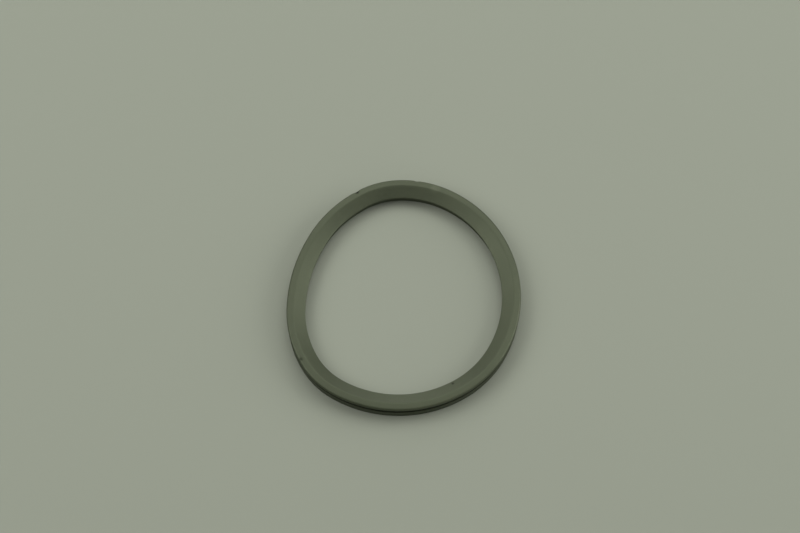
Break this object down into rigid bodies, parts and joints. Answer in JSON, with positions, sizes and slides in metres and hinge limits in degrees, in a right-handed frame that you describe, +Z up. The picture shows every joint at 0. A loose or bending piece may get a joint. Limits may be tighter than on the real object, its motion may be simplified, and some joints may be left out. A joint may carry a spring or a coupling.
{
  "type": "lip seal",
  "caption": "Moulded rubber lip seal ring: low-crowned rim, funnel face sloping in to a thin sealing lip, outward groove and square foot. Lies slack, slightly egg-shaped.",
  "frame": {"origin": "middle of the ring's outline, at the underside of its foot", "axes": "+Z up from the foot to the rim, +Y away from the viewer along the long way across, +X to the viewer's right"},
  "size_m": [0.0954, 0.104, 0.0071],
  "materials": {
    "grey_rubber": "matte"
  },
  "bodies": {
    "root": {"seal_ring": "grey_rubber"}
  },
  "joints": []
}
